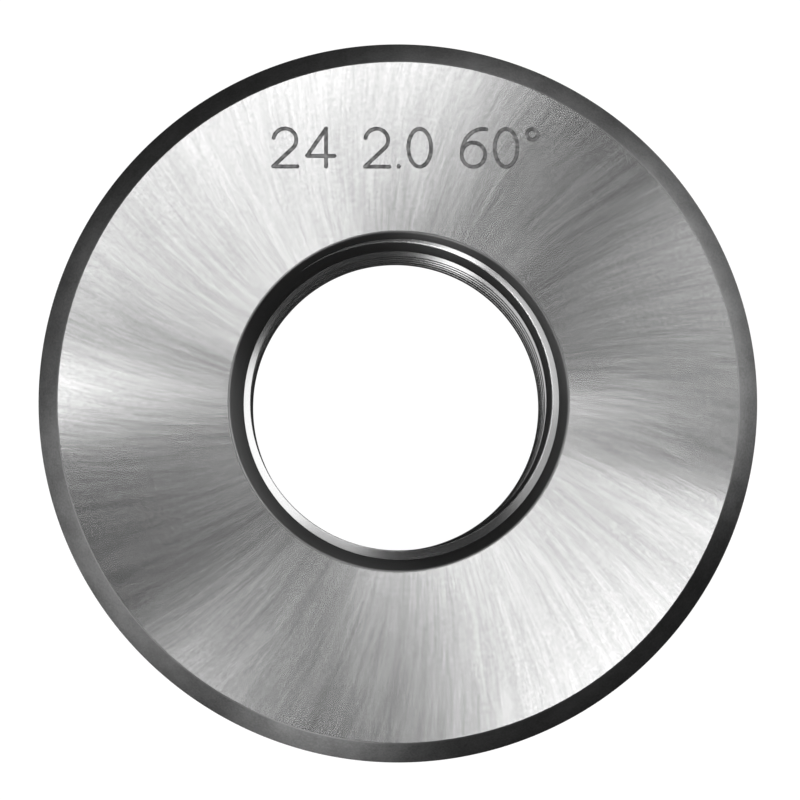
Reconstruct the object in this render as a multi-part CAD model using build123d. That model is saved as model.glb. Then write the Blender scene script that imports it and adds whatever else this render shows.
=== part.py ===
from build123d import *
from build123d.topology import SkipClean

from math import ceil, radians, tan
import os

# A solid thread ring gauge for the metric thread M24 x 2. It is one ring of hardened tool steel: turned and
# chamfered at the rim, bored, countersunk at both mouths, threaded right-handed, then ground and lapped.
# The ring lies flat. Millimetres; the origin is the centre of its lower face and +Z is the thread's axis.

# The thread, after the ISO metric profile
NOMINAL_DIAMETER = 24.0  # diameter over the roots of the groove
PITCH = 2.0
FLANK_ANGLE = 30.0  # degrees from the plane square to the axis, for each flank
THREAD_START = 105.0  # degrees about +Z from +X, where the groove runs out into the upper countersink

# The blank
OUTSIDE_DIAMETER = 53.0
THICKNESS = 16.0
RIM_CHAMFER = 1.5  # both legs of the chamfer, on both faces
COUNTERSINK_ANGLE = 60.0  # degrees, included
MOUTH_CLEARANCE = 0.45  # from the groove's roots out to the edge of the countersink

# The cutting tools
OVERCUT = 0.2  # how far the thread tool stands inside the bore, so that it cuts clear through the wall
PILOT_SHARE = 0.5  # radius of the hole in the turned blank, as a share of the finished bore
BORE_PANELS = 4  # arcs in each turn of the bore wall

# The profile that follows from the pitch: sharp triangle, flats at root and crest, and the bore at the crests
TRIANGLE_HEIGHT = PITCH / 2 / tan(radians(FLANK_ANGLE))
ROOT_FLAT = PITCH / 8
THREAD_DEPTH = TRIANGLE_HEIGHT * 5 / 8
ROOT_RADIUS = NOMINAL_DIAMETER / 2
BORE_RADIUS = ROOT_RADIUS - THREAD_DEPTH

RIM_RADIUS = OUTSIDE_DIAMETER / 2
MOUTH_RADIUS = ROOT_RADIUS + MOUTH_CLEARANCE
COUNTERSINK_SLOPE = tan(radians(COUNTERSINK_ANGLE / 2))  # radius gained for each millimetre of height
COUNTERSINK_DEPTH = (MOUTH_RADIUS - BORE_RADIUS) / COUNTERSINK_SLOPE


def turned_blank():
    """The disc off the lathe: flat faces, a chamfer round each rim, and a pilot hole."""
    pilot_radius = BORE_RADIUS * PILOT_SHARE
    section = Polyline(
        (pilot_radius, 0),
        (RIM_RADIUS - RIM_CHAMFER, 0),
        (RIM_RADIUS, RIM_CHAMFER),
        (RIM_RADIUS, THICKNESS - RIM_CHAMFER),
        (RIM_RADIUS - RIM_CHAMFER, THICKNESS),
        (pilot_radius, THICKNESS),
        close=True,
    )
    return revolve(make_face(Plane.XZ * section), Axis.Z)


def bore_cores():
    """The bore as equal wedges, which leave its wall in arcs.

    The land between two turns of the groove is then a chain of short arcs. As one face it would wind round
    the bore with the thread.
    """
    arc = 360 / BORE_PANELS
    wedge = Cylinder(BORE_RADIUS, THICKNESS, arc_size=arc, align=(Align.NONE, Align.NONE, Align.MIN))
    return [Rot(Z=arc * index) * wedge for index in range(BORE_PANELS)]


def countersinks():
    """The cones that open both mouths of the bore to just past the roots of the thread."""
    cone = Cone(MOUTH_RADIUS, BORE_RADIUS, COUNTERSINK_DEPTH, align=(Align.CENTER, Align.CENTER, Align.MIN))
    return [cone, Pos(Z=THICKNESS) * Rot(X=180) * cone]


def groove_turn():
    """One right-hand turn of the thread groove, whose root starts at +X on the XY plane."""
    tip_radius = BORE_RADIUS - OVERCUT
    half_root = ROOT_FLAT / 2
    half_mouth = half_root + (ROOT_RADIUS - tip_radius) * tan(radians(FLANK_ANGLE))
    profile = Polyline(
        (tip_radius, -half_mouth),
        (ROOT_RADIUS, -half_root),
        (ROOT_RADIUS, half_root),
        (tip_radius, half_mouth),
        close=True,
    )
    path = Helix(PITCH, PITCH, tip_radius)
    return sweep(make_face(Plane.XZ * profile), path=path, is_frenet=True)


def thread_groove():
    """The whole groove: turns end to end, from past the upper mouth down to past the lower one."""
    run_out_height = THICKNESS - MOUTH_CLEARANCE / COUNTERSINK_SLOPE
    turn = Rot(Z=THREAD_START) * groove_turn()
    turns_above = 1
    turns_below = ceil(run_out_height / PITCH) + 1
    return [Pos(Z=run_out_height + PITCH * index) * turn for index in range(-turns_below, turns_above)]


def gauge_ring():
    """The finished ring. The arcs of the bore wall stay apart, so no faces are merged after a cut."""
    blank = turned_blank()
    with SkipClean():
        bored = blank - bore_cores()
        countersunk = bored - countersinks()
        return countersunk - thread_groove()


os.makedirs("parts", exist_ok=True)
export_step(gauge_ring(), "parts/gauge_ring.step")
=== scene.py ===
import math

import bmesh
import bpy
import numpy as np
from mathutils import Matrix, Vector


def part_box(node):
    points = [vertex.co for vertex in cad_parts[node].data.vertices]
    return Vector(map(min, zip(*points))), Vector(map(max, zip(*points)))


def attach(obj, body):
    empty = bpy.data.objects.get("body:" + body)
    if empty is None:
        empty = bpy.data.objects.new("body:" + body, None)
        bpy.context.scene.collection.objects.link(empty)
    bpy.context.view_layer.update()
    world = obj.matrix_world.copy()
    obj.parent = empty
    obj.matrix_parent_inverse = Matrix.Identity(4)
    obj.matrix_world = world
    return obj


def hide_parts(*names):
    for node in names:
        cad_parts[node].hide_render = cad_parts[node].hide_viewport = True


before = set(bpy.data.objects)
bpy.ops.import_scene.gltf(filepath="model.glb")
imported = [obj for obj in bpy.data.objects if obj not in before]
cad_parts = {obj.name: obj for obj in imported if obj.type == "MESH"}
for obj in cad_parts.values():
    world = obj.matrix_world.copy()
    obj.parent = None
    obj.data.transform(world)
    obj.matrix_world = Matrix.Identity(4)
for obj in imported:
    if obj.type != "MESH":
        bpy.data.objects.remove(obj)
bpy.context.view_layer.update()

# ----------------------------------------------------------------------------------------------------------
# The ring. One disc of hardened tool steel: turned, bored, chamfered round the rim, countersunk at both
# mouths and threaded right-handed, 24 mm across the roots with a pitch of 2 mm. The faces are then ground
# on a turning table and the thread is lapped, and the rim keeps the black skin of the hardening.
# ----------------------------------------------------------------------------------------------------------

RING_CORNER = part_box("gauge_ring")[1]
RIM_RADIUS = RING_CORNER.x
THICKNESS = RING_CORNER.z
RIM_CHAMFER = 0.0015
EDGE_BREAK = 0.00005  # radius of the corners of the rim's chamfers
MOUTH_BREAK = 0.0002  # radius of the corner between a face and its countersink
CORNER_STEPS = 6  # straight pieces in each rounded corner

PITCH = 0.002
ROOT_RADIUS = 0.012
FLANK_ANGLE = math.radians(30)  # from the plane square to the axis
THREAD_START = math.radians(105)  # where the groove runs out into the upper countersink
MOUTH_CLEARANCE = 0.00045  # from the groove's roots out to the edge of the countersink
COUNTERSINK_ANGLE = math.radians(60)  # included

FLANK_SLOPE = 1 / math.tan(FLANK_ANGLE)  # radius lost for each metre of height away from the root
TRIANGLE_HEIGHT = PITCH / 2 * FLANK_SLOPE  # of the sharp thread that the profile is cut from
THREAD_DEPTH = TRIANGLE_HEIGHT * 5 / 8
ROOT_FLAT = PITCH / 8
HALF_ROOT = ROOT_FLAT / 2
HALF_MOUTH = HALF_ROOT + THREAD_DEPTH / FLANK_SLOPE  # half the groove's width at the bore wall
BORE_RADIUS = ROOT_RADIUS - THREAD_DEPTH
MOUTH_RADIUS = ROOT_RADIUS + MOUTH_CLEARANCE
COUNTERSINK_SLOPE = math.tan(COUNTERSINK_ANGLE / 2)  # radius gained for each metre of height
LIP_HEIGHT = THICKNESS - MOUTH_CLEARANCE / COUNTERSINK_SLOPE  # where the upper cone is as wide as the roots
CONE_FOOT = LIP_HEIGHT - THREAD_DEPTH / COUNTERSINK_SLOPE  # where the upper cone meets the bore wall
TURNS_DOWN = math.ceil(LIP_HEIGHT / PITCH) + 1  # from the upper lip to past the lower one

CREST_REACH = 0.00012  # how far the rounding of a land's corner reaches along the land and the flank
CREST_STEPS = 3

AZIMUTH_STEPS = 540  # columns of the mesh round the ring
MERGE_DISTANCE = 2e-7  # points nearer than this are one


def wall_radius(height):
    """Radius of the plain bore at each height: the bore's own, plus the slope of the cone past its foot."""
    above_foot = np.maximum(height - CONE_FOOT, THICKNESS - CONE_FOOT - height)
    return BORE_RADIUS + COUNTERSINK_SLOPE * np.maximum(above_foot, 0)


def upper_end_edges(root):
    """Heights of a groove's four edges, from the top, for each height of the middle of its root.

    A flank falls from the root at the flank's slope. It ends on the bore wall, half a mouth's width from
    the middle, or above the cone's foot where its line crosses the cone's line. Past the lip, nothing of
    the groove is left, and every edge stays on the lip.
    """
    total_slope = FLANK_SLOPE + COUNTERSINK_SLOPE
    slope_difference = FLANK_SLOPE - COUNTERSINK_SLOPE
    upper_land = root + HALF_MOUTH
    upper_on_cone = (FLANK_SLOPE * (root + HALF_ROOT) + COUNTERSINK_SLOPE * LIP_HEIGHT) / total_slope
    lower_land = root - HALF_MOUTH
    lower_on_cone = (FLANK_SLOPE * (root - HALF_ROOT) - COUNTERSINK_SLOPE * LIP_HEIGHT) / slope_difference
    edges = np.stack([
        np.where(upper_land <= CONE_FOOT, upper_land, upper_on_cone),
        root + HALF_ROOT,
        root - HALF_ROOT,
        np.where(lower_land <= CONE_FOOT, lower_land, lower_on_cone),
    ])
    return np.minimum(edges, LIP_HEIGHT)


def groove_edges(root):
    """The same four heights anywhere in the bore: the lower half is the upper half turned over."""
    turned_over = THICKNESS - upper_end_edges(THICKNESS - root)[::-1]
    return np.where(root > THICKNESS / 2, upper_end_edges(root), turned_over)


def rounded_rows(rows, is_corner):
    """Rows of points, of which some are rounded off, each into a few rows along a Bezier curve.

    The curve starts on the way to the row before, ends on the way to the row after, and has the corner as
    its middle control point. It reaches as far along either way as the rounding does, or a third of the
    way where that is nearer.
    """
    rounded = [rows[0]]
    for before, corner, after, rounds in zip(rows, rows[1:], rows[2:], is_corner[1:]):
        if not rounds:
            rounded.append(corner)
            continue
        ways = np.stack([before - corner, after - corner])
        reach = CREST_REACH / np.maximum(np.linalg.norm(ways, axis=-1, keepdims=True), MERGE_DISTANCE)
        start, end = corner + ways * np.minimum(reach, 1 / 3)
        for share in np.linspace(0, 1, CREST_STEPS + 1):
            rounded.append((1 - share) ** 2 * start + 2 * share * (1 - share) * corner + share**2 * end)
    rounded.append(rows[-1])
    return np.array(rounded)


def thread_wall(azimuth):
    """Radius and height of the threaded bore wall, from the top.

    The root's middle rises by one pitch a turn. Each turn has five rows: the groove's upper corner on the
    plain wall, the two edges of its root, its lower corner, and one on the land below, as near to a cone's
    foot as the land's middle third goes. The corners on the wall are then rounded off.
    """
    turn = np.arange(1, -TURNS_DOWN - 1, -1)[:, None]
    root = LIP_HEIGHT + PITCH * ((azimuth - THREAD_START) / math.tau + turn)
    edges = groove_edges(root)
    land_top = edges[3, :-1]
    land_bottom = edges[0, 1:]
    nearest_foot = np.where(root[:-1] > THICKNESS / 2, CONE_FOOT, THICKNESS - CONE_FOOT)
    third = (land_top - land_bottom) / 3
    foot = np.clip(nearest_foot, land_bottom + third, land_top - third)
    foot = np.concatenate([foot, edges[3, -1:]])
    height = np.stack([*edges, foot], axis=1).reshape(-1, azimuth.size)
    radius = wall_radius(height)
    is_root = np.tile([False, True, True, False, False], turn.size)
    is_corner = np.tile([True, False, False, True, False], turn.size)
    radius[is_root] = ROOT_RADIUS
    rows = rounded_rows(np.stack([radius, height], axis=-1), is_corner)
    return rows[..., 0], rows[..., 1]


def broken_corners(corners, sizes):
    """A profile with its inner corners rounded off: each becomes an arc that touches both its sides.

    The arc's centre lies inside the corner, at the arc's radius over the cosine of half the turn.
    """
    points = [corners[0]]
    for before, corner, after, size in zip(corners, corners[1:], corners[2:], sizes):
        arriving = (corner - before) / np.linalg.norm(corner - before)
        leaving = (after - corner) / np.linalg.norm(after - corner)
        turn = math.acos(arriving @ leaving)
        inward = (leaving - arriving) / np.linalg.norm(leaving - arriving)
        along = (leaving + arriving) / np.linalg.norm(leaving + arriving)
        centre = corner + inward * size / math.cos(turn / 2)
        angle = np.linspace(-turn / 2, turn / 2, CORNER_STEPS + 1)[:, None]
        points.extend(centre + size * (along * np.sin(angle) - inward * np.cos(angle)))
    points.append(corners[-1])
    return np.array(points)


def blank_outside():
    """Radius and height round the outside of the blank, from the lower lip over the rim to the upper.

    The upper half is the lower half turned over.
    """
    face_edge = RIM_RADIUS - RIM_CHAMFER
    lower = np.array([
        (ROOT_RADIUS, THICKNESS - LIP_HEIGHT),
        (MOUTH_RADIUS, 0),
        (face_edge, 0),
        (RIM_RADIUS, RIM_CHAMFER),
    ])
    upper = lower[::-1] * (1, -1) + (0, THICKNESS)
    lower_sizes = [MOUTH_BREAK, EDGE_BREAK, EDGE_BREAK]
    return broken_corners(np.concatenate([lower, upper]), lower_sizes + lower_sizes[::-1])


def skin(x, y, z):
    """A mesh over a grid of points, four to a face, with its faces outward.

    Points that coincide are merged, so the grid closes where its last column or row lies on its first.
    """
    rows, columns = z.shape
    number = np.arange(rows * columns).reshape(rows, columns)
    corners = [number[:-1, :-1], number[:-1, 1:], number[1:, 1:], number[1:, :-1]]
    mesh = bpy.data.meshes.new("skin")
    places = np.stack([x, y, z], axis=-1).reshape(-1, 3)
    mesh.from_pydata(places.tolist(), [], np.stack(corners, axis=-1).reshape(-1, 4).tolist())
    merged = bmesh.new()
    merged.from_mesh(mesh)
    bmesh.ops.remove_doubles(merged, verts=merged.verts, dist=MERGE_DISTANCE)
    bmesh.ops.recalc_face_normals(merged, faces=merged.faces)
    merged.to_mesh(mesh)
    merged.free()
    return mesh


def blank_mesh():
    """The thread's wall and the blank's outside, row under row, turned about the axis.

    A row of the wall rises by one pitch from the first column to the last, which is the same place, and
    meets the row of the next turn there. The wall's first row comes again at the end, where the outside has
    come round to it.
    """
    azimuth = np.linspace(0, math.tau, AZIMUTH_STEPS + 1)
    wall_r, wall_z = thread_wall(azimuth)
    outside = blank_outside()
    full_turn = np.ones(azimuth.size)
    radius = np.concatenate([wall_r, outside[:, :1] * full_turn, wall_r[:1]])
    height = np.concatenate([wall_z, outside[:, 1:] * full_turn, wall_z[:1]])
    return skin(radius * np.cos(azimuth), radius * np.sin(azimuth), height)


ring = bpy.data.objects.new("ring", blank_mesh())
bpy.context.scene.collection.objects.link(ring)

# ----------------------------------------------------------------------------------------------------------
# The marking. Diameter, pitch and thread angle, cut into the upper face by an engraving machine: each
# figure is a few strokes of a round-nosed cutter, and the strokes are stained dark.
# ----------------------------------------------------------------------------------------------------------

MARKING = "24 2.0 60°"
CAP_HEIGHT = 0.0028
STROKE_WIDTH = 0.00030
STROKE_DEPTH = 0.00008
MARKING_LEFT = -0.00925  # left end of the line of figures
MARKING_BASE = 0.01726  # foot of the figures, from the ring's axis
FIGURE_SPACE = 0.25  # between two figures, as a share of their height
WORD_SPACE = 0.30  # between two numbers, besides the space on each side of it
CURVE_STEP = 12  # degrees between two points of a curved stroke
CUTTER_RADIUS = ((STROKE_WIDTH / 2) ** 2 + STROKE_DEPTH**2) / (2 * STROKE_DEPTH)
CUTTER_SIDES = 24
CUTTER_END_STEPS = 5  # circles in each round end


def arc(centre_x, centre_y, half_width, half_height, start, end):
    """Points along part of an ellipse, from one angle to another in degrees."""
    angle = np.radians(np.linspace(start, end, round(abs(end - start) / CURVE_STEP) + 1))
    x = centre_x + half_width * np.cos(angle)
    y = centre_y + half_height * np.sin(angle)
    return np.stack([x, y], axis=-1)


def line(*ends):
    """The two ends of a straight stroke."""
    return np.array(ends)


# The strokes of each figure, and its width. The unit is the height of a figure.
FIGURES = {
    "0": ([arc(0.30, 0.50, 0.30, 0.50, 90, 450)], 0.60),
    "2": (
        [arc(0.31, 0.70, 0.30, 0.30, 170, -40), line((0.54, 0.507), (0, 0)), line((0, 0), (0.64, 0))],
        0.64,
    ),
    "4": (
        [line((0.50, 0), (0.50, 1)), line((0.50, 1), (0, 0.28)), line((0, 0.28), (0.72, 0.28))],
        0.72,
    ),
    "6": ([arc(0.56, 0.32, 0.56, 0.68, 80, 180), arc(0.31, 0.32, 0.31, 0.32, 180, 540)], 0.62),
    ".": ([line((0, 0), (0, 0.02))], 0.00),
    "°": ([arc(0.14, 0.86, 0.14, 0.14, 90, 450)], 0.28),
    " ": ([], WORD_SPACE),
}


def cutter_sweep(path):
    """The space a round-nosed cutter goes through along a path: a bar of circles with round ends.

    A circle stands square to the path at each point, and shrinks to nothing over each end. A path that
    comes back to its start has no ends. The bar's axis is so high above the face that the bar dips into it
    by the stroke's depth.
    """
    step = np.diff(path, axis=0)
    step /= np.linalg.norm(step, axis=1)[:, None]
    first, last = step[:1], step[-1:]
    centre = path
    size = np.ones((len(path), 1))
    if np.allclose(path[0], path[-1]):
        along = np.concatenate([first + last, step[:-1] + step[1:], first + last])
    else:
        end_angle = np.linspace(math.pi / 2, 0, CUTTER_END_STEPS, endpoint=False)[:, None]
        starting = path[:1] - first * CUTTER_RADIUS * np.sin(end_angle)
        ending = path[-1:] + last * CUTTER_RADIUS * np.sin(end_angle[::-1])
        centre = np.concatenate([starting, path, ending])
        size = np.concatenate([np.cos(end_angle), size, np.cos(end_angle[::-1])])
        at_ends = np.ones((CUTTER_END_STEPS + 1, 1))
        along = np.concatenate([first * at_ends, step[:-1] + step[1:], last * at_ends])
    along /= np.linalg.norm(along, axis=1)[:, None]
    around = np.linspace(0, math.tau, CUTTER_SIDES + 1)
    across = CUTTER_RADIUS * size * np.cos(around)
    upward = CUTTER_RADIUS * size * np.sin(around)
    x = centre[:, :1] - along[:, 1:] * across
    y = centre[:, 1:] + along[:, :1] * across
    return skin(x, y, THICKNESS + CUTTER_RADIUS - STROKE_DEPTH + upward)


def marking_cutters():
    """All the strokes of the marking as one mesh, figure after figure along the line."""
    strokes = bmesh.new()
    left = MARKING_LEFT
    for sign in MARKING:
        paths, width = FIGURES[sign]
        for path in paths:
            strokes.from_mesh(cutter_sweep(path * CAP_HEIGHT + (left, MARKING_BASE)))
        left += (width + FIGURE_SPACE) * CAP_HEIGHT
    mesh = bpy.data.meshes.new("marking")
    strokes.to_mesh(mesh)
    strokes.free()
    return mesh


def cut(piece, cutters):
    """Takes the cutters' space out of the piece, and leaves the piece a plain mesh again."""
    tool = bpy.data.objects.new("cutters", cutters)
    bpy.context.scene.collection.objects.link(tool)
    boolean = piece.modifiers.new("cut", "BOOLEAN")
    boolean.object = tool
    boolean.operation = "DIFFERENCE"
    boolean.solver = "EXACT"
    boolean.use_self = True
    evaluated = piece.evaluated_get(bpy.context.evaluated_depsgraph_get())
    finished = bpy.data.meshes.new_from_object(evaluated)
    piece.modifiers.clear()
    piece.data = finished
    bpy.data.objects.remove(tool)


cut(ring, marking_cutters())

# ----------------------------------------------------------------------------------------------------------
# The finishes. Ground steel on the faces, with the grinder's circular lay; lapped steel in the bore; turned
# steel, dark from the hardening, in the countersinks; black skin on the rim; and stain in the marking.
# ----------------------------------------------------------------------------------------------------------


def grey(share):
    """The colour that throws back this share of all light."""
    return (share, share, share, 1)


class Signal:
    """A value on its way through a material. Its operators add Math nodes, and keep to numbers."""

    def __init__(self, finish, socket):
        self.finish = finish
        self.socket = socket

    def maths(self, operation, *inputs):
        """A Math node over these inputs, in their order."""
        return self.finish.node("ShaderNodeMath", {"operation": operation}, dict(enumerate(inputs)))

    def __add__(self, other):
        return self.maths("ADD", self, other)

    def __sub__(self, other):
        return self.maths("SUBTRACT", self, other)

    def __rsub__(self, other):
        return self.maths("SUBTRACT", other, self)

    def __mul__(self, other):
        return self.maths("MULTIPLY", self, other)

    __radd__ = __add__
    __rmul__ = __mul__


NOISE_ROUGHNESS = 0.6  # how strong each finer layer of a noise is next to the one before


class Finish:
    """The nodes of a material, or of the room, under way."""

    def __init__(self, owner):
        self.owner = owner
        owner.use_nodes = True
        self.tree = owner.node_tree
        self.tree.nodes.clear()

    def node(self, kind, settings, inputs, output=0):
        """Adds a node: its settings first, then a value or a link for each socket. Gives one output.

        A node that closes a material or the room has no output to give.
        """
        made = self.tree.nodes.new(kind)
        for name, value in settings.items():
            setattr(made, name, value)
        for name, value in inputs.items():
            if isinstance(value, Signal):
                self.tree.links.new(value.socket, made.inputs[name])
            else:
                made.inputs[name].default_value = value
        return Signal(self, made.outputs[output]) if made.outputs else None

    def point(self):
        """The point in the ring's own axes."""
        return self.node("ShaderNodeTexCoord", {}, {}, "Object")

    def height(self, point):
        """The point's height above the lower face."""
        return self.node("ShaderNodeSeparateXYZ", {}, {0: point}, "Z")

    def flat(self, point):
        """The point without its height."""
        return self.node("ShaderNodeVectorMath", {"operation": "MULTIPLY"}, {0: point, 1: (1, 1, 0)})

    def radius(self, point):
        """The point's distance from the axis."""
        return self.node("ShaderNodeVectorMath", {"operation": "LENGTH"}, {0: self.flat(point)}, "Value")

    def direction(self, point):
        """The way from the axis to the point, as a flat vector of length 1."""
        return self.node("ShaderNodeVectorMath", {"operation": "NORMALIZE"}, {0: self.flat(point)})

    def raised(self, vector, height):
        """The vector, raised by a height."""
        rise = self.node("ShaderNodeCombineXYZ", {}, {"Z": height})
        return self.node("ShaderNodeVectorMath", {"operation": "ADD"}, {0: vector, 1: rise})

    def noise(self, vector, scale, detail=2):
        """Soft noise from 0 to 1, about half on average: a bump for each unit of the vector times scale."""
        inputs = {"Vector": vector, "Scale": scale, "Detail": detail, "Roughness": NOISE_ROUGHNESS}
        return self.node("ShaderNodeTexNoise", {}, inputs)

    def between(self, value, low, high):
        """How far the value has come from low to high, from 0 to 1, eased at both ends."""
        inputs = {"Value": value, "From Min": low, "From Max": high}
        return self.node("ShaderNodeMapRange", {"interpolation_type": "SMOOTHSTEP"}, inputs)

    def blend(self, share, first, second):
        """From the first colour to the second. A Mix node's colours are its sockets 6 and 7, and give 2."""
        return self.node("ShaderNodeMix", {"data_type": "RGBA"}, {0: share, 6: first, 7: second}, 2)

    def bump(self, height, distance):
        """The surface's normal, leaning as if the height, times the distance, stood on it."""
        return self.node("ShaderNodeBump", {}, {"Height": height, "Distance": distance})

    def surface(self, inputs):
        """Closes the material with the shader that these inputs feed."""
        shader = self.node("ShaderNodeBsdfPrincipled", {}, inputs)
        self.node("ShaderNodeOutputMaterial", {}, {"Surface": shader})
        return self.owner


BRIGHT_STEEL = grey(0.64)
DULL_STEEL = grey(0.47)
STREAK_TWIST = 9.0  # radians that a streak leans round the axis for each metre outwards
STREAK_CHANGE = 3.5  # how much a streak changes for each metre outwards, next to a radian round the ring
HAIRLINE_CHANGE = 4  # the same for a hairline
LAY_CHANGE = 1300  # and for the grinder's lay
SHADE_LOW = 0.32  # the dullest shade of the ground steel, of the 0 to 1 that its noises give
SHADE_HIGH = 0.68  # and the brightest


def ground_steel():
    """The faces: fine circular scratches that spread light outwards and inwards, but hardly sideways.

    Streaks and hairlines fan out from the axis, leaning a little. Each is a soft noise, read at the point's
    direction from the axis, turned in step with the radius, and raised a little with the radius, so it
    changes quickly round the ring and slowly on the way out. The lay is raised much faster, which makes
    rings of it, and a fine mottle lies over all.
    """
    finish = Finish(bpy.data.materials.new("ground_steel"))
    point = finish.point()
    radius = finish.radius(point)
    turned = {"Vector": finish.direction(point), "Angle": radius * STREAK_TWIST}
    direction = finish.node("ShaderNodeVectorRotate", {"rotation_type": "Z_AXIS"}, turned)
    streak = finish.noise(finish.raised(direction, radius * STREAK_CHANGE), scale=32)
    hairline = finish.noise(finish.raised(direction, radius * HAIRLINE_CHANGE), scale=130)
    lay = finish.noise(finish.raised(direction, radius * LAY_CHANGE), scale=3)
    mottle = finish.noise(point, scale=3500)
    shade = 0.34 * streak + 0.28 * hairline + 0.06 * lay + 0.32 * mottle
    return finish.surface({
        "Base Color": finish.blend(finish.between(shade, SHADE_LOW, SHADE_HIGH), DULL_STEEL, BRIGHT_STEEL),
        "Metallic": 1.0,
        "Roughness": 0.235 + 0.03 * streak,
        "Anisotropic": 0.98,
        "Anisotropic Rotation": 0.25,
        "Normal": finish.bump(streak, distance=0.0000022),
    })


LAP_RINGS = 4000  # how fast the lap's rings follow one another outwards
LAP_RISE = 9000  # and upwards


def lapped_steel():
    """The thread: bright and smooth, with the lap's faint rings.

    The rings are a noise, read at the point's direction from the axis, raised fast with radius and height.
    """
    finish = Finish(bpy.data.materials.new("lapped_steel"))
    point = finish.point()
    rise = finish.radius(point) * LAP_RINGS + finish.height(point) * LAP_RISE
    rings = finish.noise(finish.raised(finish.direction(point), rise), scale=2, detail=3)
    return finish.surface({
        "Base Color": finish.blend(0.3 + 0.4 * rings, DULL_STEEL, BRIGHT_STEEL),
        "Metallic": 1.0,
        "Roughness": 0.24 + 0.05 * rings,
        "Normal": finish.bump(rings, distance=0.000001),
    })


TURNED_DARK = grey(0.055)
TURNED_LIGHT = grey(0.09)
WORN_MOUTH = grey(0.20)
FEED_RISE = 9000  # how fast the tool's rings follow one another upwards


def turned_steel():
    """The countersinks: dark from the hardening, with the turning tool's feed, and bright at the mouth.

    The feed is a noise, read at the point's direction from the axis and raised fast with the height. The
    wear that brightens the mouth begins inside its rounded corner.
    """
    finish = Finish(bpy.data.materials.new("turned_steel"))
    point = finish.point()
    feed_place = finish.raised(finish.direction(point), finish.height(point) * FEED_RISE)
    feed = finish.noise(feed_place, scale=2, detail=3)
    grain = finish.noise(point, scale=9000)
    turned = finish.blend(0.5 * feed + 0.5 * grain, TURNED_DARK, TURNED_LIGHT)
    wear_start = MOUTH_RADIUS - MOUTH_BREAK / 2
    wear_end = MOUTH_RADIUS + MOUTH_BREAK / 4
    worn = finish.between(finish.radius(point), wear_start, wear_end)
    return finish.surface({
        "Base Color": finish.blend(worn, turned, WORN_MOUTH),
        "Metallic": 1.0,
        "Roughness": 0.38 + 0.06 * feed,
        "Anisotropic": 0.6,
        "Anisotropic Rotation": 0.25,
        "Normal": finish.bump(feed, distance=0.000003),
    })


SKIN_DARK = grey(0.05)
SKIN_LIGHT = grey(0.086)
RUBBED_STEEL = grey(0.11)
RUBBED_START = 0.000024  # from the corner outwards, where the bare steel starts to give way to the skin
RUBBED_END = 0.00012  # and where it has gone
RUBBED_WAVER = 0.0001  # how much these two places wander in and out
CLOUD_LOW = 0.3  # the noise of a cloudy colour where it is darkest
CLOUD_HIGH = 0.7  # and where it is lightest


def black_skin():
    """The rim: a thin dark skin, matt and a little cloudy, rubbed to bare steel along the faces' edges."""
    finish = Finish(bpy.data.materials.new("black_skin"))
    point = finish.point()
    cloud = finish.noise(point, scale=500, detail=4)
    fine = finish.noise(point, scale=6000, detail=3)
    cloudy = finish.between(0.5 * cloud + 0.5 * fine, CLOUD_LOW, CLOUD_HIGH)
    from_edge = finish.radius(point) - (RIM_RADIUS - RIM_CHAMFER)
    rubbed = 1 - finish.between(from_edge + RUBBED_WAVER * (cloud - 0.5), RUBBED_START, RUBBED_END)
    return finish.surface({
        "Base Color": finish.blend(rubbed, finish.blend(cloudy, SKIN_DARK, SKIN_LIGHT), RUBBED_STEEL),
        "Metallic": 1.0,
        "Roughness": 0.30 + 0.12 * fine,
        "Normal": finish.bump(fine, distance=0.000008),
    })


STAIN_DARK = grey(0.08)
STAIN_LIGHT = grey(0.25)


def stain():
    """The marking's strokes: dark and matt, uneven along the stroke."""
    finish = Finish(bpy.data.materials.new("stain"))
    cloud = finish.noise(finish.point(), scale=2500, detail=3)
    return finish.surface({
        "Base Color": finish.blend(finish.between(cloud, CLOUD_LOW, CLOUD_HIGH), STAIN_DARK, STAIN_LIGHT),
        "Metallic": 0.7,
        "Roughness": 0.42 + 0.1 * cloud,
        "Normal": finish.bump(cloud, distance=0.00001),
    })


GROUND, LAPPED, BLACK, STAINED, TURNED = range(5)
for material in (ground_steel(), lapped_steel(), black_skin(), stain(), turned_steel()):
    ring.data.materials.append(material)

FLAT_RISE = 0.999  # least upright part of the normal on a ground face
CONE_RISE = math.sin(COUNTERSINK_ANGLE / 2)  # upright part of the normal on a countersink
RISE_TOLERANCE = 0.02  # how far a countersink's polygons may be off that
WALL_TOLERANCE = 0.00002  # and off the cone
SHARP_CORNER = math.radians(25)  # where two polygons lean more than this, the corner stays sharp


def of_each_polygon(name):
    """The vectors of this name, one for each polygon of the ring, such as its centre."""
    values = np.empty(len(ring.data.polygons) * 3)
    ring.data.polygons.foreach_get(name, values)
    return values.reshape(-1, 3)


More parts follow.
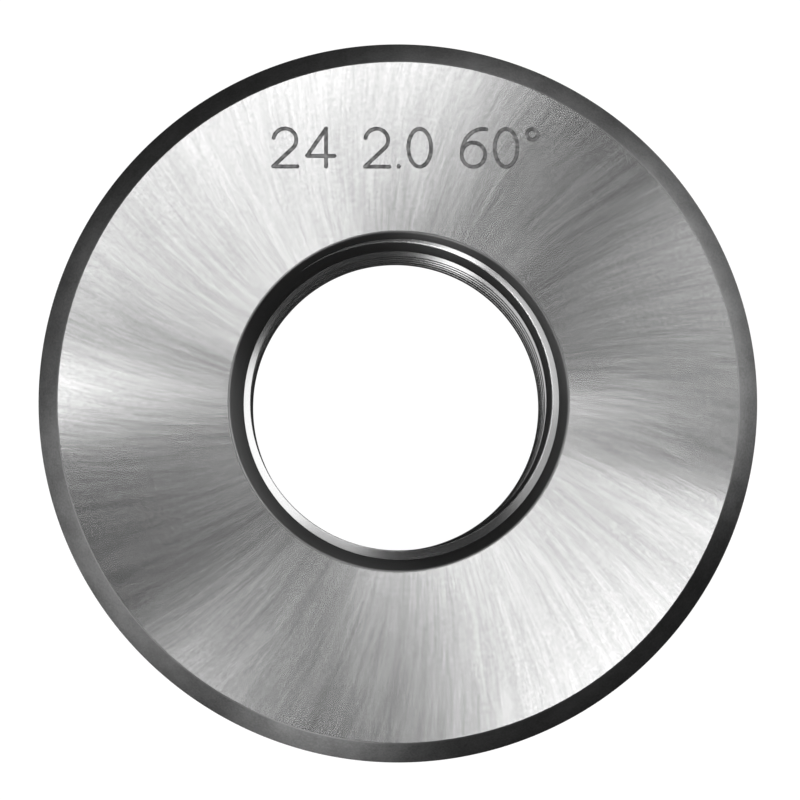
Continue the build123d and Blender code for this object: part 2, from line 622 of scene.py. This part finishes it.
x, y, height = of_each_polygon("center").T
radius = np.hypot(x, y)
facing_up = np.abs(of_each_polygon("normal")[:, 2])
past_roots = radius > ROOT_RADIUS + MERGE_DISTANCE
on_face = (facing_up > FLAT_RISE) & past_roots
along_cone = np.abs(radius - wall_radius(height)) < WALL_TOLERANCE
on_cone = ((np.abs(facing_up - CONE_RISE) < RISE_TOLERANCE) & along_cone) | past_roots
on_rim = radius > RIM_RADIUS - RIM_CHAMFER - EDGE_BREAK / 4
under_face = (height < THICKNESS - MERGE_DISTANCE / 2) & (height > THICKNESS / 2)
in_stroke = under_face & (radius > MARKING_BASE - CAP_HEIGHT)
places = [on_rim, in_stroke, on_face, on_cone]
finish_index = np.select(places, [BLACK, STAINED, GROUND, TURNED], LAPPED)
ring.data.polygons.foreach_set("material_index", finish_index.astype(np.int32))
ring.data.polygons.foreach_set("use_smooth", ~on_face)
ring.data.set_sharp_from_angle(angle=SHARP_CORNER)

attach(ring, "root")
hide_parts("gauge_ring")

# ----------------------------------------------------------------------------------------------------------
# The studio. A white table with the ring lying on it, a long lens almost straight above, and soft boxes all
# round: narrow ones high up for the upper face, and wide ones low down for the thread and the rim.
# ----------------------------------------------------------------------------------------------------------

TABLE_HALF = 3.0
TABLE_SHADE = 0.04  # how much light the table throws back at the ring

table_mesh = bpy.data.meshes.new("table")
table_corners = [(x * TABLE_HALF, y * TABLE_HALF, 0) for x, y in ((-1, -1), (1, -1), (1, 1), (-1, 1))]
table_mesh.from_pydata(table_corners, [], [(0, 1, 2, 3)])
table = bpy.data.objects.new("table", table_mesh)
bpy.context.scene.collection.objects.link(table)

# The camera sees the table as plain white. Its light is screened off from the ring, which would show it.
paper = Finish(bpy.data.materials.new("white_paper"))
table_seen = paper.node("ShaderNodeLightPath", {}, {}, "Is Camera Ray")
table_mesh.materials.append(paper.surface({
    "Base Color": grey(TABLE_SHADE),
    "Roughness": 0.9,
    "Emission Color": paper.blend(table_seen, grey(0), grey(1)),
    "Emission Strength": 1.0,
}))


def aim(piece, place, target, up):
    """Puts a camera or a light in its place, looking at the target with its top towards up.

    The three columns of its turn are its right, its top, and its back, which faces away from the target.
    """
    back = (place - target).normalized()
    right = up.cross(back).normalized()
    turn = Matrix((right, back.cross(right), back)).transposed()
    piece.matrix_world = Matrix.Translation(place) @ turn.to_4x4()


CAMERA_PLACE = Vector((-0.0056, -0.0118, THICKNESS + 0.285))
CAMERA_AIM = Vector((0.00008, 0.00009, THICKNESS))
CAMERA_TOP = Vector((0, 1, 0))
CAMERA_LENS = 175.06  # millimetres, as is the sensor
SENSOR_WIDTH = 36.0
NEAREST_SEEN = 0.01

camera_data = bpy.data.cameras.new("camera")
camera_data.lens = CAMERA_LENS
camera_data.sensor_width = SENSOR_WIDTH
camera_data.clip_start = NEAREST_SEEN
camera = bpy.data.objects.new("camera", camera_data)
bpy.context.scene.collection.objects.link(camera)
aim(camera, CAMERA_PLACE, CAMERA_AIM, CAMERA_TOP)
bpy.context.scene.camera = camera
bpy.context.scene.view_settings.view_transform = "Standard"


def soft_box(name, bearing, zenith, distance, width, height, radiance):
    """An oblong light that faces the ring, placed by its bearing about +Z and its angle from overhead.

    Its power is pi times its area times its radiance.
    """
    bearing = math.radians(bearing)
    zenith = math.radians(zenith)
    out = math.sin(zenith)
    direction = Vector((out * math.cos(bearing), out * math.sin(bearing), math.cos(zenith)))
    lamp = bpy.data.lights.new(name, "AREA")
    lamp.shape = "RECTANGLE"
    lamp.size = width
    lamp.size_y = height
    lamp.energy = radiance * math.pi * width * height
    box = bpy.data.objects.new(name, lamp)
    bpy.context.scene.collection.objects.link(box)
    aim(box, direction * distance, Vector((0, 0, 0)), Vector((0, 0, 1)))


# Overhead, a ring of narrow boxes, whose reflections are the bright fans on the face
FAN_ZENITH = 26
FAN_DISTANCE = 0.6
FAN_HEIGHT = 0.30
for name, bearing, width, radiance in (
    ("far", 93.5, 0.176, 3.75),
    ("far_left", 139, 0.182, 2.4),
    ("left", 171.5, 0.044, 5.2),
    ("near_left", 233, 0.089, 2.2),
    ("near_right", 314, 0.198, 3.85),
    ("right_edge", 346, 0.024, 5.8),
    ("right", 27, 0.11, 1.3),
):
    soft_box(name, bearing, FAN_ZENITH, FAN_DISTANCE, width, FAN_HEIGHT, radiance)

# Low down, tall boxes that light the thread's flanks, and flat ones just above the table for the chamfer
LOW_DISTANCE = 0.9
for name, bearing, zenith, width, height, radiance in (
    ("right_wall", 20.5, 70, 1.06, 0.62, 2.0),
    ("right_sill", 20, 86, 1.00, 0.13, 9.8),
    ("far_wall", 66, 76, 0.42, 0.50, 1.2),
    ("far_right_sill", 75, 85, 0.55, 0.14, 5.0),
    ("far_sill", 124, 85, 0.90, 0.14, 0.8),
    ("left_wall", 206, 70, 0.86, 0.62, 1.05),
    ("left_sill", 205, 86, 0.90, 0.13, 8.0),
    ("left_end", 160, 68, 0.60, 0.56, 0.6),
    ("left_end_sill", 162, 84, 0.46, 0.16, 3.0),
    ("corner", 250, 70, 0.22, 0.62, 3.2),
    ("corner_sill", 257, 86, 0.34, 0.13, 11.0),
    ("near_sill", 300, 85, 0.80, 0.14, 0.7),
):
    soft_box(name, bearing, zenith, LOW_DISTANCE, width, height, radiance)

# The room: white to the camera, and almost dark to the ring
ROOM_GLOW = 0.004
room = bpy.data.worlds.new("studio")
bpy.context.scene.world = room
air = Finish(room)
room_seen = air.node("ShaderNodeLightPath", {}, {}, "Is Camera Ray")
glow = air.node("ShaderNodeMath", {"operation": "MAXIMUM"}, {0: room_seen, 1: ROOM_GLOW})
background = air.node("ShaderNodeBackground", {}, {"Color": grey(1), "Strength": glow})
air.node("ShaderNodeOutputWorld", {}, {"Surface": background})
